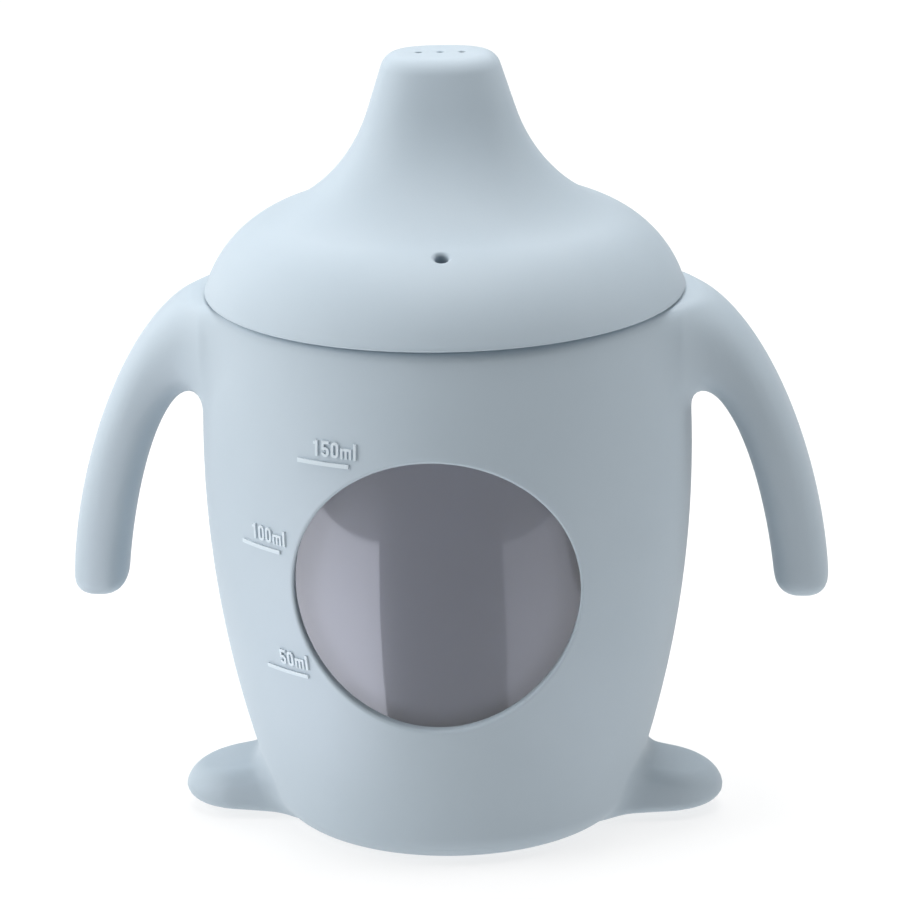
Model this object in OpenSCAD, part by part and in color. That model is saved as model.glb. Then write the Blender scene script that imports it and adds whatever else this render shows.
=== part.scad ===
// Toddler sippy cup: a soft sleeve with two handles and two feet holds a
// clear inner cup, and a soft lid with a drinking spout closes the cup.
// Millimetres, +Z up, origin on the ground under the cup's axis, front towards -Y.

/* [Sleeve] */
// Height of the sleeve's top edge
sleeve_h = 82.3; // [80:0.1:84]
// Largest outer radius of the sleeve
barrel_r = 36.9; // [36.5:0.1:38]
// Height of that largest radius
barrel_z = 59; // [56:1:62]
// Radius of the arc that bows the sleeve's side
barrel_bow = 167; // [160:1:180]
// Rounding where the side meets the base
base_round = 4.5; // [3:0.5:6]
// Thickness of the sleeve's floor
sleeve_floor = 5; // [3.5:0.1:5.5]
// Rounding of the sleeve's top edge
shoulder_round = 1.2; // [0.8:0.1:1.5]

/* [Window] */
// Radius of the round window
window_r = 21.1; // [16:0.1:22]
// Height of the window's centre
window_z = 44.9; // [42:0.1:48]

/* [Handles] */
// Distance of a handle's outermost point from the axis
handle_reach = 57.5; // [55:0.1:60]
// Thickness of a handle near its tip
handle_thick = 8.3; // [7:0.1:9]
// Half the handle's depth, front to back, where it leaves the sleeve
handle_root_depth = 11; // [8:0.5:12]
// Half the handle's depth at its tip
handle_tip_depth = 5.8; // [5:0.1:7]
// Height of the lowest point of a handle
handle_tip_z = 34.4; // [33:0.1:38]

/* [Feet] */
// Distance of a foot's tip from the axis
foot_reach = 41.3; // [38:0.1:43]
// Half the foot's depth, front to back
foot_depth = 7.8; // [6:0.1:9]
// Height of the foot's top where it leaves the sleeve
foot_root_h = 9.3; // [8:0.1:11]
// Height of the foot's top near its tip
foot_tip_h = 7.1; // [6:0.1:8]
// Height of the foot's underside at its tip
foot_lift = 1.6; // [0:0.1:1.8]

/* [Volume marks] */
// How far the marks stand out of the sleeve
mark_proud = 0.3; // [0.15:0.05:0.4]
// Height of the numerals
mark_text_h = 2.35; // [2:0.05:3]
// Thickness of the graduation lines
mark_line_h = 0.6; // [0.4:0.1:1]

/* [Inner cup] */
// Outer radius of the straight upper part of the inner cup
cup_r = 33.6; // [33:0.1:33.8]
// Height at which the cup's side begins to curve in
cup_curve_z = 46; // [44:1:48]
// Radius of the arc that curves the cup's side in
cup_bow = 102; // [98:1:110]
// Wall thickness of the inner cup
cup_wall = 1.8; // [1.2:0.1:2]
// Thickness of the cup's floor
cup_floor = 3.8; // [1.6:0.1:4]
// Rounding where the cup's side meets its floor
cup_round = 5; // [4:0.5:6]
// Outer radius of the neck that takes the lid
neck_r = 31.6; // [31:0.1:31.8]
// Height of the top of the neck
neck_top = 88.2; // [87:0.1:88.5]

/* [Lid] */
// Height of the lid's lower edge
lid_z = 82.6; // [82.5:0.1:83]
// Radius of the lid's lower edge
lid_r = 36.05; // [35.8:0.05:36.4]
// Radius of the dome's rounding
dome_round = 17.2; // [16:0.1:18]
// Radius of the waist between the dome and the spout
waist_round = 25; // [22:0.1:26]
// Wall thickness of the lid
lid_wall = 2; // [1.5:0.1:2.2]
// Length of the spout's straight part
spout_straight = 7.35; // [6:0.05:10]
// Rounding of the spout's top edge
spout_round = 2.8; // [2.2:0.1:3]
// Diameter of each drinking hole
drink_hole_d = 1; // [0.6:0.1:1.4]
// Distance between the drinking holes
drink_hole_pitch = 3.2; // [2.5:0.1:4]
// Diameter of the air vent
vent_d = 2; // [1:0.1:2.5]
// How far the lid is turned on the cup, in degrees
lid_turn = 3; // [0:1:359]

/* [Hidden] */
$fn = 96;

slip = 0.1;            // clearance between parts that slide
past = 1;              // how far a cutting shape runs past what it cuts
arc_steps = 8;         // segments in a short rounding
side_steps = 20;       // segments in a long side arc
mark_key = 0.1;        // how far the marks are let into the sleeve

// Centres of the side arcs, in the (radius, height) plane
barrel_cx = barrel_r - barrel_bow;
cup_cx = cup_r - cup_bow;
cup_base = sleeve_floor + slip;
cup_inside_floor = cup_base + cup_floor;
neck_in_r = neck_r - cup_wall;
shoulder_drop = 1.8;   // height over which the cup's side steps in to its neck
floor_blend = 1;       // width of the bevel between the cup's inside floor and its side

// Angles along the lid's outline, measured from the radius direction
dome_start = 15.35;
side_dome_end = 68.5;
side_lean = 17.7;
front_dome_end = 74;
front_waist = 23;
front_lean = 14;
front_straight = 5.6;
plug_in_r = 28;        // inside of the ring that reaches into the cup's neck
plug_bottom = 84;

sleeve_c = [0.62, 0.70, 0.75];
mark_c = [0.80, 0.86, 0.90];
cup_c = [0.42, 0.43, 0.48, 0.6];
lid_c = [0.66, 0.74, 0.79];

// Points on an arc about (cx, cz), from angle a0 to a1
function arc(cx, cz, r, a0, a1, n) =
    [for (i = [0:n]) let (a = a0 + (a1 - a0) * i / n) [cx + r * cos(a), cz + r * sin(a)]];

// Radius at which a circle of radius r at height z just touches a side arc from inside
function tangent_x(cx, cz, bow, r, z) = cx + sqrt(pow(bow - r, 2) - pow(z - cz, 2));

// The sleeve's side as an arc, moved outwards by off
function barrel_side(off) =
    let (
        low_x = tangent_x(barrel_cx, barrel_z, barrel_bow, base_round, base_round),
        high_z = sleeve_h - shoulder_round,
        high_x = tangent_x(barrel_cx, barrel_z, barrel_bow, shoulder_round, high_z),
        a0 = atan2(base_round - barrel_z, low_x - barrel_cx),
        a1 = atan2(high_z - barrel_z, high_x - barrel_cx)
    )
    arc(barrel_cx, barrel_z, barrel_bow + off, a0, a1, side_steps);

// The inner cup's outside from the axis up to height top, moved outwards by off
function cup_side(off, top) =
    let (
        cz = cup_base + cup_round,
        cx = tangent_x(cup_cx, cup_curve_z, cup_bow, cup_round, cz),
        a0 = atan2(cz - cup_curve_z, cx - cup_cx)
    )
    concat(
        [[0, cup_base - off]],
        arc(cx, cz, cup_round + off, -90, a0, arc_steps),
        [for (i = [1:side_steps]) let (a = a0 * (1 - i / side_steps))
            [cup_cx + (cup_bow + off) * cos(a), cup_curve_z + (cup_bow + off) * sin(a)]],
        [[cup_r + off, top]]
    );

// The lid's outline from its lower edge to the flat top of the spout, moved inwards by off
function lid_outline(off, dome_end, waist, lean, straight) =
    let (
        cx1 = lid_r - dome_round * cos(dome_start),
        cz1 = lid_z - dome_round * sin(dome_start),
        x1 = cx1 + dome_round * cos(dome_end),
        z1 = cz1 + dome_round * sin(dome_end),
        cx2 = x1 + waist * cos(dome_end),
        cz2 = z1 + waist * sin(dome_end),
        x2 = cx2 - waist * cos(lean) - straight * sin(lean),
        z2 = cz2 - waist * sin(lean) + straight * cos(lean),
        cx3 = x2 - spout_round * cos(lean),
        cz3 = z2 - spout_round * sin(lean)
    )
    concat(
        arc(cx1, cz1, dome_round - off, dome_start, dome_end, 2 * arc_steps),
        arc(cx2, cz2, waist + off, 180 + dome_end, 180 + lean, 2 * arc_steps),
        arc(cx3, cz3, spout_round - off, lean, 90, arc_steps)
    );

// A point on the cubic curve with control points p
function curve(p, t) =
    pow(1 - t, 3) * p[0] + 3 * pow(1 - t, 2) * t * p[1]
    + 3 * (1 - t) * t * t * p[2] + pow(t, 3) * p[3];

// Handle: the upper and lower edges of its outline in the X-Z plane
handle_end_z = handle_tip_z + 4;
handle_root_x = 33.7;
handle_in_x = handle_reach - handle_thick;
handle_top = [[handle_root_x, sleeve_h], [45.2, 85], [56.2, 59.7], [handle_reach, handle_end_z]];
handle_low = [[handle_root_x, 68.5], [43.7, 71.8], [48.1, 48.8], [handle_in_x, handle_end_z]];
handle_taper_z = 60;   // the depth grows from here up to the root
handle_tip_edge = 3;   // rounding of the tip, seen from the side
handle_steps = 14;

module handle() {
    n = handle_steps;
    drop = handle_end_z - handle_tip_z;
    half = handle_thick / 2;
    tip = [for (p = arc(0, 0, 1, 0, -180, n)) [handle_in_x + half + half * p[0], handle_end_z + drop * p[1]]];
    outline = concat(
        [for (i = [0:n]) curve(handle_top, i / n)],
        [for (i = [1:n - 1]) tip[i]],
        [for (i = [n:-1:0]) curve(handle_low, i / n)]
    );
    edge = handle_tip_edge;
    tip_side = arc(handle_tip_depth - edge, handle_tip_z + edge, edge, -90, 0, arc_steps);
    side = concat(tip_side, [[handle_tip_depth, handle_taper_z], [handle_root_depth, sleeve_h]]);
    intersection() {
        rotate([90, 0, 0]) linear_extrude(2 * handle_root_depth + past, center = true) polygon(outline);
        rotate([90, 0, 90]) linear_extrude(handle_reach + past) polygon(concat(
            side,
            [for (i = [len(side) - 1:-1:0]) [-side[i][0], side[i][1]]]
        ));
    }
}

// Foot: a rounded tongue that thins and lifts a little towards its tip
foot_root_x = 20;
foot_bend_x = 31;      // where the foot's top comes out of the sleeve's side
foot_edge = 2.4;
foot_lift_x = 22;      // where the underside begins to lift
foot_top_lean = 82;    // angle at which the tip's rounding runs into the top

module foot() {
    tip_x = foot_reach - foot_depth;
    edge_x = foot_reach - foot_edge;
    outline = concat(
        [[foot_root_x, 0], [foot_lift_x, 0]],
        arc(edge_x, foot_lift + foot_edge, foot_edge, -90, 0, arc_steps),
        arc(edge_x, foot_tip_h - foot_edge, foot_edge, 0, foot_top_lean, arc_steps),
        [[foot_bend_x, foot_root_h], [foot_root_x, foot_root_h]]
    );
    intersection() {
        rotate([90, 0, 0]) linear_extrude(2 * foot_depth + past, center = true) polygon(outline);
        union() {
            translate([tip_x, 0, -past]) cylinder(h = 3 * foot_root_h, r = foot_depth);
            translate([foot_root_x - past, -foot_depth, -past])
                cube([tip_x - foot_root_x + past, 2 * foot_depth, 3 * foot_root_h]);
        }
    }
}

module both_sides() {
    children();
    mirror([1, 0, 0]) children();
}

module barrel() {
    low_x = tangent_x(barrel_cx, barrel_z, barrel_bow, base_round, base_round);
    high_z = sleeve_h - shoulder_round;
    high_x = tangent_x(barrel_cx, barrel_z, barrel_bow, shoulder_round, high_z);
    side = barrel_side(0);
    a0 = atan2(base_round - barrel_z, low_x - barrel_cx);
    a1 = atan2(high_z - barrel_z, high_x - barrel_cx);
    rotate_extrude() polygon(concat(
        [[0, 0]],
        arc(low_x, base_round, base_round, -90, a0, arc_steps),
        [for (i = [1:len(side) - 1]) side[i]],
        [for (i = [1:arc_steps]) let (a = a1 + (90 - a1) * i / arc_steps)
            [high_x + shoulder_round * cos(a), high_z + shoulder_round * sin(a)]],
        [[0, sleeve_h]]
    ));
}

// One soft moulding: barrel, handles and feet, open at the top and at the window
module sleeve() {
    color(sleeve_c) difference() {
        union() {
            barrel();
            both_sides() handle();
            both_sides() foot();
        }
        rotate_extrude() polygon(concat(cup_side(slip, sleeve_h + past), [[0, sleeve_h + past]]));
        translate([0, 0, sleeve_h]) cylinder(h = handle_reach, r = handle_reach);
        translate([0, 0, window_z]) rotate([90, 0, 0]) cylinder(h = barrel_r + past, r = window_r);
    }
}

// Numerals and letters, 1 high, with their widths and strokes to that scale
stroke = 0.17;
thin_stroke = 0.15;
glyph_w = 0.52;
glyph_pitch = 0.66;
one_x = 0.2;           // left edge of the 1's upright
one_flag_z = 0.74;     // height of the 1's flag
five_bowl_h = 0.62;
five_stem_z = 0.43;    // the 5's upright runs from here to its top bar
five_gap_z = 0.26;     // the 5's bowl is open above this on its left
small_h = 0.66;        // height of the m
m_pitch = 0.29;        // distance between the m's uprights

// A ring in the shape of an upright oval
module bowl(w, h) {
    difference() {
        upright_oval(w, h);
        translate([stroke, stroke]) upright_oval(w - 2 * stroke, h - 2 * stroke);
    }
}

// An upright oval with round ends, its corner at the origin
module upright_oval(w, h) {
    translate([0, w / 2]) square([w, h - w]);
    for (y = [w / 2, h - w / 2]) translate([w / 2, y]) circle(d = w, $fn = 24);
}

module digit_0() {
    bowl(glyph_w, 1);
}

module digit_1() {
    translate([one_x, 0]) square([stroke, 1]);
    translate([one_x - thin_stroke, one_flag_z]) square([one_x, thin_stroke]);
}

module digit_5() {
    difference() {
        bowl(glyph_w, five_bowl_h);
        translate([-past, five_gap_z]) square([past + stroke, five_stem_z - five_gap_z]);
    }
    translate([0, 1 - stroke]) square([glyph_w, stroke]);
    translate([0, five_stem_z]) square([stroke, 1 - five_stem_z]);
}

module letter_m() {
    for (i = [0:2]) translate([i * m_pitch, 0]) square([thin_stroke, small_h]);
    translate([0, small_h - thin_stroke]) square([2 * m_pitch + thin_stroke, thin_stroke]);
}

module letter_l() {
    square([stroke, 1]);
}

// Digits and "ml", drawn flat, standing on the origin and centred on it
module graduation(digits) {
    letters_x = len(digits) * glyph_pitch;
    l_x = letters_x + 3 * m_pitch;
    scale([mark_text_h, mark_text_h]) translate([-(l_x + stroke) / 2, 0]) {
        for (i = [0:len(digits) - 1]) translate([i * glyph_pitch, 0]) {
            if (digits[i] == 0) digit_0();
            if (digits[i] == 1) digit_1();
            if (digits[i] == 5) digit_5();
        }
        translate([letters_x, 0]) letter_m();
        translate([l_x, 0]) letter_l();
    }
}

// Digits, angle from the front towards -X, and height of the line
marks = [
    [[1, 5, 0], 25.8, 64.8],
    [[1, 0, 0], 45.5, 49.7],
    [[5, 0], 41.1, 30.4]
];
mark_line_w = 8.6;
mark_text_gap = 0.8;
mark_text_turn = -3;   // the text sits towards the window end of its line
mark_reach = 12;

// Stands a flat drawing up, facing outwards at the given angle from the front
module on_side(angle, z) {
    rotate([0, 0, -angle]) translate([0, -barrel_r + mark_reach / 2, z])
        rotate([90, 0, 0]) linear_extrude(mark_reach) children();
}

// Raised volume graduations, beside the window
module volume_marks() {
    inner = barrel_side(-mark_key);
    outer = barrel_side(mark_proud);
    steps = len(outer) - 1;
    color(mark_c) intersection() {
        rotate_extrude() polygon(concat(outer, [for (i = [steps:-1:0]) inner[i]]));
        for (m = marks) {
            on_side(m[1], m[2]) translate([-mark_line_w / 2, 0]) square([mark_line_w, mark_line_h]);
            on_side(m[1] + mark_text_turn, m[2] + mark_line_h + mark_text_gap) graduation(m[0]);
        }
    }
}

// Clear cup that stands in the sleeve; its neck takes the lid
module inner_cup() {
    rim = cup_wall / 2;
    shoulder_z = sleeve_h - shoulder_drop;
    outside = concat(
        cup_side(0, shoulder_z),
        [[neck_r, sleeve_h], [neck_r, neck_top - rim]],
        arc(neck_r - rim, neck_top - rim, rim, 0, 90, arc_steps),
        [[0, neck_top]]
    );
    side = [for (p = cup_side(-cup_wall, shoulder_z - cup_wall)) if (p[1] > cup_inside_floor + slip) p];
    inside = concat(
        [[0, cup_inside_floor], [side[0][0] - floor_blend, cup_inside_floor]],
        side,
        [[neck_in_r, sleeve_h], [neck_in_r, neck_top - rim]],
        arc(neck_r - rim, neck_top - rim, rim, 180, 90, arc_steps),
        [[neck_r - rim, neck_top + past], [0, neck_top + past]]
    );
    color(cup_c) difference() {
        rotate_extrude() polygon(outside);
        rotate_extrude() polygon(inside);
    }
}

// The dome and the flattened spout as a solid, moved inwards by off; floor_z is its lower end
module lid_shape(off, floor_z) {
    side = lid_outline(off, side_dome_end, waist_round, side_lean, spout_straight);
    front = lid_outline(off, front_dome_end, front_waist, front_lean, front_straight);
    intersection() {
        rotate_extrude() polygon(concat([[0, floor_z]], [[side[0][0], floor_z]], side, [[0, spout_top(side)]]));
        rotate([90, 0, 90]) linear_extrude(2 * lid_r + 2 * past, center = true) polygon(concat(
            [[-front[0][0] - past, floor_z], [front[0][0] + past, floor_z], [front[0][0] + past, front[0][1]]],
            [for (i = [1:len(front) - 1]) front[i]],
            [for (i = [len(front) - 1:-1:1]) [-front[i][0], front[i][1]]],
            [[-front[0][0] - past, front[0][1]]]
        ));
    }
}

function spout_top(outline) = outline[len(outline) - 1][1];

// Soft lid: spout with drinking holes, air vent, and a groove that grips the cup's neck
module spout_lid() {
    top = spout_top(lid_outline(0, side_dome_end, waist_round, side_lean, spout_straight));
    groove_top = neck_top + slip;
    vent_r = lid_r - dome_round * cos(dome_start) + dome_round * cos(side_dome_end);
    vent_z = lid_z - dome_round * sin(dome_start) + dome_round * sin(side_dome_end);
    color(lid_c) rotate([0, 0, lid_turn]) difference() {
        lid_shape(0, lid_z);
        intersection() {
            lid_shape(lid_wall, lid_z - past);
            translate([0, 0, lid_z - 2 * past]) cylinder(h = top, r = plug_in_r);
        }
        translate([0, 0, lid_z - past]) cylinder(h = plug_bottom - lid_z + past, r = neck_r + slip);
        difference() {
            translate([0, 0, lid_z]) cylinder(h = groove_top - lid_z, r = neck_r + slip);
            translate([0, 0, lid_z - past]) cylinder(h = groove_top, r = neck_in_r - slip);
        }
        for (i = [-1:1]) translate([i * drink_hole_pitch, 0, top - lid_wall - past])
            cylinder(h = lid_wall + 2 * past, d = drink_hole_d, $fn = 24);
        translate([0, -vent_r, vent_z]) rotate([90 - side_dome_end, 0, 0])
            cylinder(h = 3 * lid_wall, d = vent_d, center = true, $fn = 24);
    }
}

sleeve();
volume_marks();
inner_cup();
spout_lid();
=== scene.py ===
"""A toddler's sippy cup: soft sleeve with handles and feet, clear inner cup, soft spout lid.

Lengths in this script are millimetres until a mesh is made, when they become metres.
"""

import math

import bmesh
import bpy
import numpy as np
from mathutils import Matrix, Vector


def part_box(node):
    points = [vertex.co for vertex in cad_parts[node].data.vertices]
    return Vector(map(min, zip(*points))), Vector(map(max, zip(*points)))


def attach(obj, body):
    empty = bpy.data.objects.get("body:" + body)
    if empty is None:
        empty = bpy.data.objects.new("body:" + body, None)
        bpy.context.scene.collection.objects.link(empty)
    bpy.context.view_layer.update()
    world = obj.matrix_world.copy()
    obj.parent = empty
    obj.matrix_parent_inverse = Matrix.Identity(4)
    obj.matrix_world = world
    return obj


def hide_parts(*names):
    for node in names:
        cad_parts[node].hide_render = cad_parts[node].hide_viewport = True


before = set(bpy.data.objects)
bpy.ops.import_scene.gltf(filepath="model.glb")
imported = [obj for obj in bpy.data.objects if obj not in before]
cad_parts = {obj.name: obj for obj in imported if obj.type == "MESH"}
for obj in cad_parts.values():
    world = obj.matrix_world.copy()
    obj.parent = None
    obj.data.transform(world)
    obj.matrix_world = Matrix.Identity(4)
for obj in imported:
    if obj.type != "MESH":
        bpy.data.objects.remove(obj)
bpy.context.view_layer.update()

MM = 0.001


def box_mm(node):
    low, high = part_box(node)
    return [v / MM for v in low], [v / MM for v in high]


_, sleeve_high = box_mm("sleeve")
cup_low, cup_high = box_mm("inner_cup")
lid_low, lid_high = box_mm("spout_lid")

# ---------------------------------------------------------------- sizes

SLEEVE_H = sleeve_high[2]
REACH = sleeve_high[0] - 0.1   # keeps the handles' outermost faces just inside the sleeve part's box
BARREL_R = sleeve_high[1]
BARREL_Z = 59.0
BARREL_BOW = 167.0
BASE_ROUND = 4.5
SHOULDER_ROUND = 1.2
WINDOW_R = 21.1
WINDOW_Z = 44.9
WINDOW_LIP = 0.7

HANDLE_THICK = 8.3
HANDLE_TIP_Z = 34.6
HANDLE_END_Z = HANDLE_TIP_Z + 4.0
HANDLE_IN_X = REACH - HANDLE_THICK
HANDLE_ROOT_X = 33.7
HANDLE_DEPTH = 5.8          # half the depth, front to back, at the tip
HANDLE_SWELL = 1.2          # what that gains between the heights of SWELL_Z
SWELL_Z = (38, 66)
HANDLE_ROOT_DEPTH = 12.0    # half the depth where the handle leaves the barrel, at its top
FLARE_Z = (60, 80)          # the flare to that depth grows in between these heights
FLARE_X = BARREL_R + 13     # and inwards from here,
FLARE_RUN = 14.0            # over this distance
HANDLE_SQUARE = 2.5         # power of the rounded section: 2 is an ellipse
HANDLE_BLEND = 5.0

FOOT_REACH = 41.3
FOOT_DEPTH = 7.8            # half the width, which is the tip's radius in plan
FOOT_TIP_H = 7.1
FOOT_SLOPE = 0.2
FOOT_SLOPE_X = 37.0         # the foot has its tip height here, and slopes from it
FOOT_RISE = 0.012           # how fast its top curves up inwards of FOOT_RISE_X
FOOT_RISE_X = 33.0
FOOT_LIFT = 1.7             # gap under the tip, which starts at FOOT_LIFT_X
FOOT_LIFT_X = 20.0
FOOT_TOP_ROUND = 3.0
FOOT_UNDER_ROUND = 1.9
FOOT_BLEND = 3.0

MESH_STEP = 0.72            # size of the sleeve's mesh cells
MOUTH_ROUND = 0.8

CUP_R = 33.6
CUP_BOW = 102.0
CUP_CURVE_Z = 46.0
CUP_WALL = 1.8
CUP_FLOOR = 3.8
CUP_ROUND = 5.0
CUP_CORNER = 2.0            # radius inside, where the wall meets the floor
NECK_R = 31.6
NECK_STEP = 1.8             # height of the slope from the cup's wall to its neck
NECK_TOP = cup_high[2]
SLIP = 0.1                  # clearance between the pieces

LID_Z = lid_low[2]
LID_R = 36.05
LID_TOP = lid_high[2]
DOME_ROUND = 17.2
DOME_START = 15.35
SIDE = dict(dome_end=68.5, waist=25.0, lean=17.7, straight=7.32)
FRONT = dict(dome_end=74.0, waist=23.0, lean=14.0, straight=5.57)
SPOUT_ROUND = 2.8
LID_WALL = 2.0
LID_TURN = math.radians(3.0)
PLUG_IN_R = 28.0
PLUG_BOTTOM = 84.0
HOLE_PITCH = 3.2
HOLE_D = 1.0
HOLE_LIP = 0.25
VENT_D = 2.0
VENT_LIP = 0.7
EASE = 0.3                  # small rounding of the lid's edges


# ---------------------------------------------------------------- mesh helpers

def mesh_object(name, verts, faces, material=None):
    """A mesh object from millimetre vertices."""
    mesh = bpy.data.meshes.new(name)
    mesh.from_pydata((np.asarray(verts) * MM).tolist(), [], [list(map(int, f)) for f in faces])
    mesh.validate()
    obj = bpy.data.objects.new(name, mesh)
    bpy.context.scene.collection.objects.link(obj)
    if material:
        mesh.materials.append(material)
    return obj


def arc(cx, cy, r, a0, a1, n):
    """n + 1 points on an arc, angles in degrees."""
    a = np.radians(np.linspace(a0, a1, n + 1))
    return np.stack([cx + r * np.cos(a), cy + r * np.sin(a)], 1)


def grid_faces(rows, cols):
    """Quads over rows of cols points each, joined round each row."""
    faces = []
    for i in range(rows - 1):
        a, b = i * cols, (i + 1) * cols
        for j in range(cols):
            k = (j + 1) % cols
            faces.append((a + j, a + k, b + k, b + j))
    return faces


def lathe(name, profile, segments=192, material=None):
    """A closed profile of (radius, height) points turned about Z; it starts and ends on the axis."""
    ring = np.asarray(profile)[1:-1]
    a = np.linspace(0, 2 * math.pi, segments, endpoint=False)
    verts = np.stack([
        np.outer(ring[:, 0], np.cos(a)), np.outer(ring[:, 0], np.sin(a)),
        np.repeat(ring[:, 1:], segments, 1)], -1).reshape(-1, 3)
    faces = grid_faces(len(ring), segments)
    start, end = len(verts), len(verts) + 1
    verts = np.vstack([verts, [0, 0, profile[0][1]], [0, 0, profile[-1][1]]])
    last = (len(ring) - 1) * segments
    for j in range(segments):
        k = (j + 1) % segments
        faces.append((start, k, j))
        faces.append((end, last + j, last + k))
    return mesh_object(name, verts, faces, material)


def cut(obj, cutter):
    """Takes cutter out of obj and deletes cutter."""
    mod = obj.modifiers.new("cut", "BOOLEAN")
    mod.operation = "DIFFERENCE"
    mod.solver = "MANIFOLD"
    mod.object = cutter
    graph = bpy.context.evaluated_depsgraph_get()
    mesh = bpy.data.meshes.new_from_object(obj.evaluated_get(graph))
    obj.modifiers.remove(mod)
    old = obj.data
    obj.data = mesh
    bpy.data.meshes.remove(old)
    bpy.data.objects.remove(cutter)


def shade(obj, sharp_angle):
    """Smooth shading, with edges over sharp_angle degrees kept sharp."""
    mesh = obj.data
    mesh.polygons.foreach_set("use_smooth", [True] * len(mesh.polygons))
    mesh.set_sharp_from_angle(angle=math.radians(sharp_angle))


# ---------------------------------------------------------------- distance fields for the sleeve

def round_cut(a, b, r):
    """Intersection of two solids with an outer fillet of radius r."""
    u, v = a + r, b + r
    return np.minimum(np.maximum(u, v), 0) + np.hypot(np.maximum(u, 0), np.maximum(v, 0)) - r


def blend(a, b, k):
    """Union of two solids with a soft inner fillet of size k."""
    h = np.clip(0.5 + 0.5 * (b - a) / k, 0, 1)
    return b + (a - b) * h - k * h * (1 - h)


def bezier(a, b, c, d, n=48):
    """n + 1 points on the cubic curve from a to d, pulled by b and c."""
    t = np.linspace(0, 1, n + 1)[:, None]
    a, b, c, d = np.array([a, b, c, d], float)
    return (1 - t) ** 3 * a + 3 * (1 - t) ** 2 * t * b + 3 * (1 - t) * t * t * c + t ** 3 * d


# the handle's upper and lower outlines, seen from the front
HANDLE_TOP = bezier((HANDLE_ROOT_X, SLEEVE_H + 1.0), (45.2, 85), (56.2, 59.7), (REACH, HANDLE_END_Z))
HANDLE_LOW = bezier((HANDLE_ROOT_X, 68.5), (43.7, 71.8), (48.1, 48.8), (HANDLE_IN_X, HANDLE_END_Z))
FAR = 1e9


def line_distance(x, z, line):
    """Signed distance in the X-Z plane to an open line; positive on its left as it runs."""
    a, b = line[:-1], line[1:]
    d = b - a
    length2 = (d ** 2).sum(1)
    best = np.full(x.shape, FAR)
    side = np.ones(x.shape)
    for i in range(len(a)):
        px, pz = x - a[i, 0], z - a[i, 1]
        t = (px * d[i, 0] + pz * d[i, 1]) / length2[i]
        low = -FAR if i == 0 else 0.0
        high = FAR if i == len(a) - 1 else 1.0
        t = np.clip(t, low, high)
        qx, qz = px - t * d[i, 0], pz - t * d[i, 1]
        dist = np.hypot(qx, qz)
        cross = d[i, 0] * qz - d[i, 1] * qx
        near = dist < best
        best = np.where(near, dist, best)
        side = np.where(near, np.sign(cross), side)
    return best * side


def smooth_step(x, low, high):
    """0 below low, 1 above high, and an easy change between them."""
    t = np.clip((x - low) / (high - low), 0, 1)
    return t * t * (3 - 2 * t)


def handle_field(x, y, z):
    """Handle on the +X side: a flattened bar, broader where it leaves the barrel."""
    top = line_distance(x, z, HANDLE_TOP)
    low = -line_distance(x, z, HANDLE_LOW)
    off = (top - low) / 2
    half = np.maximum((-top - low) / 2, 1.0)
    root = np.clip((FLARE_X - x) / FLARE_RUN, 0, 1)
    flare = HANDLE_ROOT_DEPTH - HANDLE_DEPTH - HANDLE_SWELL
    depth = HANDLE_DEPTH + HANDLE_SWELL * smooth_step(z, *SWELL_Z)
    depth = depth + flare * root ** 2.2 * smooth_step(z, *FLARE_Z)
    past = np.maximum(HANDLE_END_Z - z, 0) / (HANDLE_END_Z - HANDLE_TIP_Z)
    p = HANDLE_SQUARE + 0.3 * root + 0.15 * smooth_step(past, 0, 0.5)
    norm = (np.abs(off / half) ** p + np.abs(y / depth) ** p + past ** p) ** (1 / p)
    d = (norm - 1) * np.minimum(half, depth)
    return round_cut(d, z - SLEEVE_H, 1.0)


def foot_field(x, y, z):
    """Foot on the +X side: a rounded tongue that thins and lifts a little towards its tip."""
    plan = np.hypot(np.maximum(x - (FOOT_REACH - FOOT_DEPTH), 0), y) - FOOT_DEPTH
    rise = FOOT_RISE * np.maximum(FOOT_RISE_X - x, 0) ** 2
    top = (z - FOOT_TIP_H - FOOT_SLOPE * (FOOT_SLOPE_X - x) - rise) / math.hypot(1, FOOT_SLOPE)
    under = FOOT_LIFT * np.clip((x - FOOT_LIFT_X) / (FOOT_REACH - FOOT_LIFT_X), 0, 1) ** 0.7
    return round_cut(round_cut(plan, top, FOOT_TOP_ROUND), under - z, FOOT_UNDER_ROUND)


def barrel_field(x, y, z):
    """The bowed barrel between the ground and the sleeve's rim."""
    r = np.hypot(x, y)
    side = np.hypot(r - (BARREL_R - BARREL_BOW), z - BARREL_Z) - BARREL_BOW
    return round_cut(round_cut(side, -z, BASE_ROUND), z - SLEEVE_H, SHOULDER_ROUND)


def sleeve_field(points):
    """Signed distance to the sleeve's outside, filled in; handles and feet count only near them."""
    x, y, z = np.abs(points[:, 0]), points[:, 1], points[:, 2]
    d = barrel_field(x, y, z)
    near = (x > 28) & (np.abs(y) < 22) & (z > 28)
    d[near] = blend(d[near], handle_field(x[near], y[near], z[near]), HANDLE_BLEND)
    near = (x > 14) & (np.abs(y) < 20) & (z < 24)
    d[near] = blend(d[near], foot_field(x[near], y[near], z[near]), FOOT_BLEND)
    return np.maximum(np.maximum(d, -z), z - SLEEVE_H)


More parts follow.
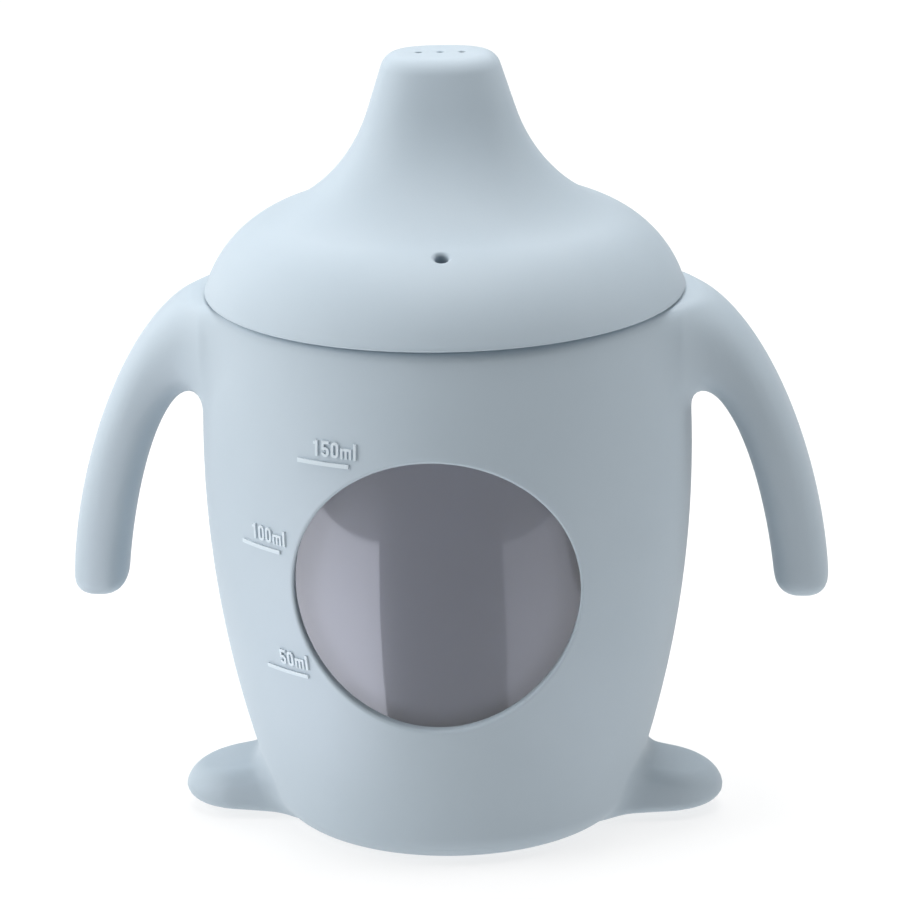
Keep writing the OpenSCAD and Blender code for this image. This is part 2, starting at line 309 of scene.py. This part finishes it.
def surface_of(field, low, high, step):
    """Quads over the zero surface of field: one vertex per crossed cell, then moved onto it."""
    axes = [np.arange(low[i] - 2 * step, high[i] + 3 * step, step) for i in range(3)]
    shape = tuple(len(a) for a in axes)
    values = np.empty(shape)
    gy, gz = np.meshgrid(axes[1], axes[2], indexing="ij")
    for i, x in enumerate(axes[0]):
        values[i] = field(np.stack([np.full(gy.size, x), gy.ravel(), gz.ravel()], 1)).reshape(gy.shape)
    inside = values < 0
    cells = tuple(n - 1 for n in shape)
    total = np.zeros(cells + (3,))
    count = np.zeros(cells)
    corners = [(i, j, k) for i in (0, 1) for j in (0, 1) for k in (0, 1)]

    def at(array, c):
        return array[c[0]:c[0] + cells[0], c[1]:c[1] + cells[1], c[2]:c[2] + cells[2]]

    for a in corners:
        for axis in range(3):
            if a[axis]:
                continue
            b = tuple(1 if i == axis else v for i, v in enumerate(a))
            va, vb = at(values, a), at(values, b)
            crossed = at(inside, a) != at(inside, b)
            t = np.where(crossed, va / np.where(crossed, va - vb, 1), 0)
            for i in range(3):
                total[..., i] += np.where(crossed, a[i] + (t if i == axis else 0), 0)
            count += crossed
    used = count > 0
    index = np.full(cells, -1)
    index[used] = np.arange(used.sum())
    place = np.argwhere(used)
    verts = place + total[used] / count[used][:, None]
    verts = np.stack([axes[i][0] + verts[:, i] * step for i in range(3)], 1)
    faces = []
    for axis in range(3):
        u, v = (axis + 1) % 3, (axis + 2) % 3
        lo = [slice(1, n - 1) for n in shape]
        lo[axis] = slice(0, shape[axis] - 1)
        hi = list(lo)
        hi[axis] = slice(1, shape[axis])
        a, b = inside[tuple(lo)], inside[tuple(hi)]
        edges = np.argwhere(a != b)
        start = np.array([s.start for s in lo])
        base = edges + start
        flip = ~a[tuple(edges.T)]
        quad = []
        for du, dv in ((0, 0), (1, 0), (1, 1), (0, 1)):
            c = base.copy()
            c[:, u] -= 1 - du
            c[:, v] -= 1 - dv
            quad.append(index[tuple(c.T)])
        quad = np.stack(quad, 1)
        quad[flip] = quad[flip][:, ::-1]
        faces.append(quad)
    for _ in range(4):
        verts = onto_surface(field, verts)
    return verts, np.concatenate(faces)


def gradient(field, points):
    """Slope of field at each point, from two probes along each axis."""
    probes = 0.02 * np.eye(3)
    return np.stack([(field(points + e) - field(points - e)) / (2 * e.max()) for e in probes], 1)


def onto_surface(field, points):
    """One step of each point towards the zero surface of field."""
    g = gradient(field, points)
    step = field(points) / np.maximum((g ** 2).sum(1), 0.1)
    return points - np.clip(step, -0.5, 0.5)[:, None] * g


# ---------------------------------------------------------------- materials

def new_material(name):
    """A node material with its tree and its Principled shader."""
    mat = bpy.data.materials.new(name)
    mat.use_nodes = True
    tree = mat.node_tree
    return mat, tree, tree.nodes["Principled BSDF"]


def silicone(name, dark, light, roughness=0.56):
    """Matte moulded silicone: faint colour drift, fine-grained bump, a little light inside it."""
    mat, tree, bsdf = new_material(name)
    nodes, links = tree.nodes, tree.links
    where = nodes.new("ShaderNodeTexCoord")
    drift = nodes.new("ShaderNodeTexNoise")
    drift.inputs["Scale"].default_value = 38.0
    drift.inputs["Detail"].default_value = 4.0
    ramp = nodes.new("ShaderNodeValToRGB")
    ramp.color_ramp.elements[0].position = 0.3
    ramp.color_ramp.elements[1].position = 0.7
    ramp.color_ramp.elements[0].color = (*dark, 1)
    ramp.color_ramp.elements[1].color = (*light, 1)
    grain = nodes.new("ShaderNodeTexNoise")
    grain.inputs["Scale"].default_value = 2600.0
    grain.inputs["Detail"].default_value = 3.0
    shine = nodes.new("ShaderNodeMapRange")
    shine.inputs["To Min"].default_value = roughness - 0.05
    shine.inputs["To Max"].default_value = roughness + 0.05
    bump = nodes.new("ShaderNodeBump")
    bump.inputs["Strength"].default_value = 0.06
    bump.inputs["Distance"].default_value = 0.0001
    links.new(where.outputs["Object"], drift.inputs["Vector"])
    links.new(where.outputs["Object"], grain.inputs["Vector"])
    links.new(drift.outputs["Fac"], ramp.inputs["Fac"])
    links.new(ramp.outputs["Color"], bsdf.inputs["Base Color"])
    links.new(grain.outputs["Fac"], shine.inputs["Value"])
    links.new(shine.outputs["Result"], bsdf.inputs["Roughness"])
    links.new(grain.outputs["Fac"], bump.inputs["Height"])
    links.new(bump.outputs["Normal"], bsdf.inputs["Normal"])
    bsdf.inputs["Specular IOR Level"].default_value = 0.35
    bsdf.inputs["Subsurface Weight"].default_value = 0.12
    bsdf.inputs["Subsurface Radius"].default_value = (0.9, 1.0, 1.1)
    bsdf.inputs["Subsurface Scale"].default_value = 0.0015
    return mat


def smoke_plastic(name):
    """Smoke-tinted plastic: a slightly cloudy body with faint flow marks under a polished skin."""
    mat, tree, bsdf = new_material(name)
    nodes, links = tree.nodes, tree.links
    where = nodes.new("ShaderNodeTexCoord")
    flow = nodes.new("ShaderNodeTexNoise")
    flow.inputs["Scale"].default_value = 30.0
    tint = nodes.new("ShaderNodeValToRGB")
    tint.color_ramp.elements[0].color = (0.38, 0.42, 0.56, 1)
    tint.color_ramp.elements[1].color = (0.42, 0.46, 0.60, 1)
    shine = nodes.new("ShaderNodeMapRange")
    shine.inputs["To Min"].default_value = 0.28
    shine.inputs["To Max"].default_value = 0.33
    links.new(where.outputs["Object"], flow.inputs["Vector"])
    links.new(flow.outputs["Fac"], tint.inputs["Fac"])
    links.new(tint.outputs["Color"], bsdf.inputs["Base Color"])
    links.new(flow.outputs["Fac"], shine.inputs["Value"])
    links.new(shine.outputs["Result"], bsdf.inputs["Roughness"])
    bsdf.inputs["Transmission Weight"].default_value = 0.88
    bsdf.inputs["IOR"].default_value = 1.5
    bsdf.inputs["Specular IOR Level"].default_value = 0.7
    bsdf.inputs["Coat Weight"].default_value = 1.0
    bsdf.inputs["Coat Roughness"].default_value = 0.05
    return mat


def floor_material():
    """Pale and plain, with light of its own so that it shows white."""
    mat, _, bsdf = new_material("floor")
    bsdf.inputs["Base Color"].default_value = (0.3, 0.3, 0.3, 1)
    bsdf.inputs["Roughness"].default_value = 0.9
    bsdf.inputs["Specular IOR Level"].default_value = 0.0
    bsdf.inputs["Emission Color"].default_value = (1, 1, 1, 1)
    bsdf.inputs["Emission Strength"].default_value = 0.72
    return mat


SLEEVE_MAT = silicone("sleeve_silicone", (0.415, 0.49, 0.55), (0.435, 0.51, 0.57))
LID_MAT = silicone("lid_silicone", (0.415, 0.49, 0.55), (0.435, 0.51, 0.57))
# the marks' silicone is the sleeve's made lighter: a painted highlight standing in for the light that
# the raised marks catch
MARK_PAINTED_HIGHLIGHT_MAT = silicone("mark_silicone", (0.55, 0.63, 0.69), (0.57, 0.65, 0.71), 0.5)
SMOKE_MAT = smoke_plastic("smoke_plastic")


# ---------------------------------------------------------------- sleeve

def tangent_x(cx, cz, bow, r, z):
    """Radius at which a circle of radius r at height z touches a side arc from inside."""
    return cx + math.sqrt((bow - r) ** 2 - (z - cz) ** 2)


def cup_outline(off, top):
    """The inner cup's outside from the axis to height top, moved outwards by off."""
    base = cup_low[2]
    cx = CUP_R - CUP_BOW
    z = base + CUP_ROUND
    x = tangent_x(cx, CUP_CURVE_Z, CUP_BOW, CUP_ROUND, z)
    low = math.degrees(math.atan2(z - CUP_CURVE_Z, x - cx))
    straight = np.linspace(CUP_CURVE_Z, top, 8)[1:]
    return np.vstack([
        [[0, base - off]],
        arc(x, z, CUP_ROUND + off, -90, low, 12),
        arc(cx, CUP_CURVE_Z, CUP_BOW + off, low, 0, 40)[1:],
        np.stack([np.full(len(straight), CUP_R + off), straight], 1)])


def barrel_radius(z):
    """Radius of the sleeve's bowed outside at height z."""
    return BARREL_R - BARREL_BOW + np.sqrt(BARREL_BOW ** 2 - (z - BARREL_Z) ** 2)


def window_cutter():
    """A plug along Y whose side flares, tangent to the sleeve, to leave a rounded lip."""
    turns = 360
    inner_end, outer_end = -18.0, -60.0
    clear = 0.5    # how far the cutter is wider than the rounded lip
    a = np.linspace(0, 2 * math.pi, turns, endpoint=False)
    dx, dz = np.cos(a), np.sin(a)
    rows = []

    def row(radius, y):
        rows.append(np.stack([radius * dx, y, WINDOW_Z + radius * dz], 1))

    def skin_y(radius):
        r = barrel_radius(WINDOW_Z + radius * dz)
        return -np.sqrt(r ** 2 - (radius * dx) ** 2)

    row(WINDOW_R, np.full(turns, inner_end))
    wall_y = skin_y(WINDOW_R) + WINDOW_LIP
    row(WINDOW_R, wall_y + 0.8)
    for s in np.radians(np.linspace(0, 84, 9)):
        radius = WINDOW_R + WINDOW_LIP * (1 - math.cos(s))
        row(radius, skin_y(radius) + WINDOW_LIP * (1 - math.sin(s)))
    edge = WINDOW_R + WINDOW_LIP + clear
    row(edge, skin_y(edge) - 0.06)
    row(edge, np.full(turns, outer_end))
    verts = np.vstack(rows)
    faces = grid_faces(len(rows), turns)
    last = (len(rows) - 1) * turns
    faces.append(tuple(range(turns))[::-1])
    faces.append(tuple(range(last, last + turns)))
    obj = mesh_object("window_cutter", verts, faces)
    outward(obj)
    return obj


def outward(obj):
    """Makes the faces of a closed mesh point outwards."""
    bm = bmesh.new()
    bm.from_mesh(obj.data)
    bmesh.ops.recalc_face_normals(bm, faces=bm.faces)
    bm.to_mesh(obj.data)
    bm.free()


def make_sleeve():
    """The soft sleeve: barrel, handles and feet in one, less the cup's seat and the window."""
    low = (-REACH - 1, -BARREL_R - 1, -1)
    high = (REACH + 1, BARREL_R + 1, SLEEVE_H + 1)
    verts, faces = surface_of(sleeve_field, low, high, MESH_STEP)
    verts[:, 2] = np.maximum(verts[:, 2], 0)
    sleeve = mesh_object("silicone_sleeve", verts, faces, SLEEVE_MAT)
    outward(sleeve)
    wall = cup_outline(SLIP, SLEEVE_H - 1.0)
    r = wall[-1][0]
    mouth = arc(r + MOUTH_ROUND, SLEEVE_H - MOUTH_ROUND, MOUTH_ROUND, 180, 96, 6)
    profile = np.vstack([wall, mouth, [[r + 1.5 * MOUTH_ROUND, SLEEVE_H + 1], [0, SLEEVE_H + 1]]])
    cavity = lathe("cavity", profile, 256)
    outward(cavity)
    cut(sleeve, cavity)
    cut(sleeve, window_cutter())
    shade(sleeve, 50)
    sleeve.visible_glossy = False    # or the cup would mirror the window's wall as a dark ring
    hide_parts("sleeve")
    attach(sleeve, "sleeve")


# ---------------------------------------------------------------- inner cup

def make_inner_cup():
    """The smoke-tinted cup: a turned shell with a rounded rim on its neck."""
    rim = CUP_WALL / 2
    shoulder = SLEEVE_H - NECK_STEP
    outside = cup_outline(0, shoulder)
    neck = [[NECK_R, shoulder + NECK_STEP], [NECK_R, NECK_TOP - rim]]
    over = arc(NECK_R - rim, NECK_TOP - rim, rim, 0, 180, 12)
    inner = cup_outline(-CUP_WALL, shoulder - CUP_WALL)
    floor = cup_low[2] + CUP_FLOOR
    inner = inner[inner[:, 1] > floor + 0.01][::-1]
    foot = inner[-1]
    base_curve = arc(foot[0] - CUP_CORNER, floor + CUP_CORNER, CUP_CORNER, -10, -90, 8)
    profile = np.vstack([
        outside, neck, over[:-1],
        [[NECK_R - CUP_WALL, NECK_TOP - rim], [NECK_R - CUP_WALL, shoulder + NECK_STEP]],
        inner[inner[:, 1] > floor + CUP_CORNER + 0.2], base_curve, [[0, floor]]])
    cup = lathe("smoke_inner_cup", profile, 192, SMOKE_MAT)
    outward(cup)
    shade(cup, 40)
    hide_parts("inner_cup")
    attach(cup, "cup")


# ---------------------------------------------------------------- lid

def lid_outline(off, dome_end, waist, lean, straight, n=20):
    """(radius, height) points from the lower edge to the flat top of the spout, moved inwards by off."""
    start, end, tilt = (math.radians(v) for v in (DOME_START, dome_end, lean))
    c1 = np.array([LID_R - DOME_ROUND * math.cos(start), LID_Z - DOME_ROUND * math.sin(start)])
    p1 = c1 + DOME_ROUND * np.array([math.cos(end), math.sin(end)])
    c2 = p1 + waist * np.array([math.cos(end), math.sin(end)])
    p2 = c2 - waist * np.array([math.cos(tilt), math.sin(tilt)])
    p2 = p2 + straight * np.array([-math.sin(tilt), math.cos(tilt)])
    c3 = p2 - SPOUT_ROUND * np.array([math.cos(tilt), math.sin(tilt)])
    straight_run = np.linspace(0, 1, 7)[1:-1, None]
    waist_arc = arc(*c2, waist + off, 180 + dome_end, 180 + lean, n)[1:]
    edge = arc(*c3, SPOUT_ROUND - off, lean, 90, n // 2)
    return np.vstack([
        arc(*c1, DOME_ROUND - off, DOME_START, dome_end, 2 * n),
        waist_arc, waist_arc[-1] + (edge[0] - waist_arc[-1]) * straight_run, edge])


TURNS = 224         # points in each ring of the lid
SPOUT_SQUARE = 2.5   # power of the spout's oval at its top: 2 is an ellipse
LID_ANGLES = np.linspace(0, 2 * math.pi, TURNS, endpoint=False)


def oval_ring(side, front, square):
    """A ring that passes through side = (x, z) at its sides and front = (y, z) at its front and back."""
    c, s = np.cos(LID_ANGLES), np.sin(LID_ANGLES)
    x = side[0] * np.sign(c) * np.abs(c) ** (2 / square)
    y = front[0] * np.sign(s) * np.abs(s) ** (2 / square)
    z = side[1] * c ** 2 + front[1] * s ** 2
    return np.stack([x, y, z], 1)


def lid_rings(off, lowest):
    """Rings over the dome and the spout, from height lowest up."""
    side, front = lid_outline(off, **SIDE), lid_outline(off, **FRONT)
    rings = []
    for a, b in zip(side, front):
        square = 2 + (SPOUT_SQUARE - 2) * min(max((a[1] - 94) / 14, 0), 1)
        if a[1] >= lowest:
            rings.append(oval_ring(a, b, square))
    (x, side_z), (y, front_z) = side[-1], front[-1]
    for k in (0.75, 0.5, 0.25):
        square = 2 + (SPOUT_SQUARE - 2) * k
        rings.append(oval_ring((x * k, side_z), (y * k, front_z), square))
    return rings


def circle_ring(r, z):
    """A level round ring."""
    return oval_ring((r, z), (r, z), 2)


def make_lid():
    """The soft lid: dome and spout, a groove for the cup's neck, a plug in it, holes and a vent."""
    outer = lid_rings(0, LID_Z + 0.5)
    groove_top = NECK_TOP + SLIP
    groove_r = NECK_R + SLIP
    plug_r = NECK_R - CUP_WALL - SLIP
    skirt = [circle_ring(LID_R - EASE + EASE * math.cos(a), LID_Z + EASE - EASE * math.sin(a))
             for a in np.radians([90, 70, 45, 20, 0])]
    hollow = []
    for ring in lid_rings(LID_WALL, PLUG_BOTTOM + 2):
        r = np.hypot(ring[:, 0], ring[:, 1])
        k = np.minimum(1, PLUG_IN_R / np.maximum(r, 1e-6))[:, None]
        hollow.append(np.hstack([ring[:, :2] * k, ring[:, 2:]]))
    rings = outer[::-1] + skirt[::-1]
    rings += [circle_ring(groove_r + EASE, LID_Z), circle_ring(groove_r, LID_Z + EASE),
              circle_ring(groove_r, groove_top - EASE), circle_ring(groove_r - EASE, groove_top),
              circle_ring(plug_r + EASE, groove_top), circle_ring(plug_r, groove_top - EASE),
              circle_ring(plug_r, PLUG_BOTTOM + 0.5), circle_ring(plug_r - 0.5, PLUG_BOTTOM),
              circle_ring(PLUG_IN_R + 0.4, PLUG_BOTTOM), circle_ring(PLUG_IN_R, PLUG_BOTTOM + 0.4)]
    rings += hollow
    verts = np.vstack(rings)
    faces = grid_faces(len(rings), TURNS)
    top, under = len(verts), len(verts) + 1
    verts = np.vstack([verts, [0, 0, rings[0][0][2]], [0, 0, rings[-1][0][2]]])
    last = (len(rings) - 1) * TURNS
    for j in range(TURNS):
        k = (j + 1) % TURNS
        faces.append((top, k, j))
        faces.append((under, last + j, last + k))
    lid = mesh_object("silicone_spout_lid", verts, faces, LID_MAT)
    outward(lid)
    up = Vector((0, 0, 1))
    for i in (-1, 0, 1):
        cut(lid, hole_cutter(HOLE_D / 2, HOLE_LIP, Vector((i * HOLE_PITCH, 0, LID_TOP)), up))
    tilt = math.radians(SIDE["dome_end"])
    start = math.radians(DOME_START)
    r = LID_R - DOME_ROUND * math.cos(start) + DOME_ROUND * math.cos(tilt)
    z = LID_Z - DOME_ROUND * math.sin(start) + DOME_ROUND * math.sin(tilt)
    out = Vector((0, -math.cos(tilt), math.sin(tilt)))
    cut(lid, hole_cutter(VENT_D / 2, VENT_LIP, Vector((0, -r, z)), out))
    shade(lid, 40)
    lid.data.transform(Matrix.Rotation(LID_TURN, 4, "Z"))
    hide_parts("spout_lid")
    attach(lid, "lid")


def hole_cutter(radius, lip, mouth, out):
    """A round pin with a flared end, centred on mouth and pointing along out."""
    turns = 48
    depth, above = 3.5, 1.5
    flare = radius + lip * 1.3
    steps = [(radius, -depth), (radius, -lip)]
    for a in np.radians([20, 40, 60, 80]):
        steps.append((radius + lip * (1 - math.cos(a)), -lip + lip * math.sin(a)))
    steps += [(flare, 0.12), (flare, above)]
    turn = out.to_track_quat("Z", "Y").to_matrix()
    verts = []
    for r, h in steps:
        for j in range(turns):
            a = 2 * math.pi * j / turns
            verts.append(mouth + turn @ Vector((r * math.cos(a), r * math.sin(a), h)))
    faces = grid_faces(len(steps), turns)
    last = (len(steps) - 1) * turns
    faces.append(tuple(range(turns))[::-1])
    faces.append(tuple(range(last, last + turns)))
    obj = mesh_object("hole_cutter", [tuple(v) for v in verts], faces)
    outward(obj)
    return obj


# ---------------------------------------------------------------- stage, lights and camera

def make_floor():
    """A plain pale floor, in metres."""
    size = 20.0
    corners = [(-size, -size, 0), (size, -size, 0), (size, size, 0), (-size, size, 0)]
    mesh = bpy.data.meshes.new("floor")
    mesh.from_pydata(corners, [], [(0, 1, 2, 3)])
    obj = bpy.data.objects.new("floor", mesh)
    bpy.context.scene.collection.objects.link(obj)
    mesh.materials.append(floor_material())


# soft square lights: name, azimuth and elevation in degrees, distance and size in metres, watts;
# azimuth 0 is in front of the window and 90 on the +X side
SOFTBOXES = [
    ("left_softbox", -72, 22, 0.75, (0.5, 0.7), 4.2),
    ("right_softbox", 95, 36, 0.75, (0.4, 0.6), 1.8),
    ("top_softbox", 0, 88, 0.8, (0.6, 0.6), 5.4),
    ("back_softbox", 180, 45, 0.8, (0.8, 0.5), 3.0),
    ("back_left_softbox", -125, 20, 0.75, (0.4, 0.6), 1.5),
]
AIM = Vector((0, 0, 0.06))    # all of them point here

# light cards for the polished cup to mirror: name, the azimuth in which the card runs away from the
# cup, how far its middle lies to the left of that line, its width, and its brightness, where the
# white of the floor is 1
STRIPS = [
    ("left_strip", -30, 37, 85, 3.1),
    ("right_strip", 27, -30, 60, 0.9),
]
STRIP_NEAR = CUP_R + 12    # from the cup's axis to the card's near edge
STRIP_LENGTH = 72.0
STRIP_LEAN = math.radians(20.0)
STRIP_GAP = 2.0            # under its near edge


def area_light(name, width, height, power):
    """A rectangular light, not yet placed, in metres and watts."""
    data = bpy.data.lights.new(name, "AREA")
    data.shape = "RECTANGLE"
    data.size, data.size_y = width, height
    data.energy = power
    obj = bpy.data.objects.new(name, data)
    bpy.context.scene.collection.objects.link(obj)
    return obj


def make_softbox(name, azimuth, elevation, distance, size, power):
    a, e = math.radians(azimuth), math.radians(elevation)
    away = Vector((math.sin(a) * math.cos(e), -math.cos(a) * math.cos(e), math.sin(e)))
    obj = area_light(name, *size, power)
    obj.location = AIM + away * distance
    obj.rotation_mode = "QUATERNION"
    obj.rotation_quaternion = (-away).to_track_quat("-Z", "Y")


def make_strip(name, azimuth, across, width, brightness):
    """A plain light card that leans up and away from the window; only glossy rays see it."""
    a = math.radians(azimuth)
    run = Vector((math.sin(a), -math.cos(a), 0))
    left = Vector((-math.cos(a), -math.sin(a), 0))
    rise = run * math.cos(STRIP_LEAN) + Vector((0, 0, math.sin(STRIP_LEAN)))
    face = left.cross(rise)
    middle = run * STRIP_NEAR + left * across + rise * STRIP_LENGTH / 2 + Vector((0, 0, STRIP_GAP))
    size = width * MM, STRIP_LENGTH * MM
    obj = area_light(name, *size, brightness * math.pi * size[0] * size[1])
    obj.data.color = (0.94, 0.96, 1.10)
    turn = Matrix((face.cross(rise), rise, -face)).transposed()
    obj.matrix_world = Matrix.Translation(middle * MM) @ turn.to_4x4()
    for ray in ("camera", "diffuse", "transmission", "volume_scatter"):
        setattr(obj, "visible_" + ray, False)


def make_lights():
    world = bpy.data.worlds.new("studio")
    world.use_nodes = True
    sky = world.node_tree.nodes["Background"]
    sky.inputs["Color"].default_value = (1, 1, 1, 1)
    sky.inputs["Strength"].default_value = 0.03
    bpy.context.scene.world = world
    bpy.context.scene.view_settings.view_transform = "Standard"
    for softbox in SOFTBOXES:
        make_softbox(*softbox)
    for strip in STRIPS:
        make_strip(*strip)


def make_camera():
    """The camera stands a little to the right of the front and looks down at the cup."""
    azimuth, pitch, roll = math.radians(3.9), math.radians(17.0), math.radians(1.1)
    distance, lens = 0.832, 220.0
    target = Vector((0.0003, 0, 0.057))
    level = Vector((math.sin(azimuth), -math.cos(azimuth), 0))
    back = level * math.cos(pitch) + Vector((0, 0, math.sin(pitch)))
    data = bpy.data.cameras.new("camera")
    data.lens, data.sensor_width = lens, 36.0
    data.clip_start, data.clip_end = 0.01, 20
    obj = bpy.data.objects.new("camera", data)
    obj.location = target + back * distance
    obj.rotation_mode = "QUATERNION"
    turn = (-back).to_track_quat("-Z", "Y").to_matrix() @ Matrix.Rotation(-roll, 3, "Z")
    obj.rotation_quaternion = turn.to_quaternion()
    bpy.context.scene.collection.objects.link(obj)
    bpy.context.scene.camera = obj


def dress_marks():
    """The raised marks keep their shape and get their own material, a lighter copy of the sleeve's
    silicone: a painted highlight for the light they catch.
    """
    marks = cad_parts["volume_marks"]
    marks.data.materials.clear()
    marks.data.materials.append(MARK_PAINTED_HIGHLIGHT_MAT)
    marks.visible_glossy = False    # as for the sleeve


make_camera()
make_lights()
make_floor()
make_sleeve()
make_inner_cup()
make_lid()
dress_marks()
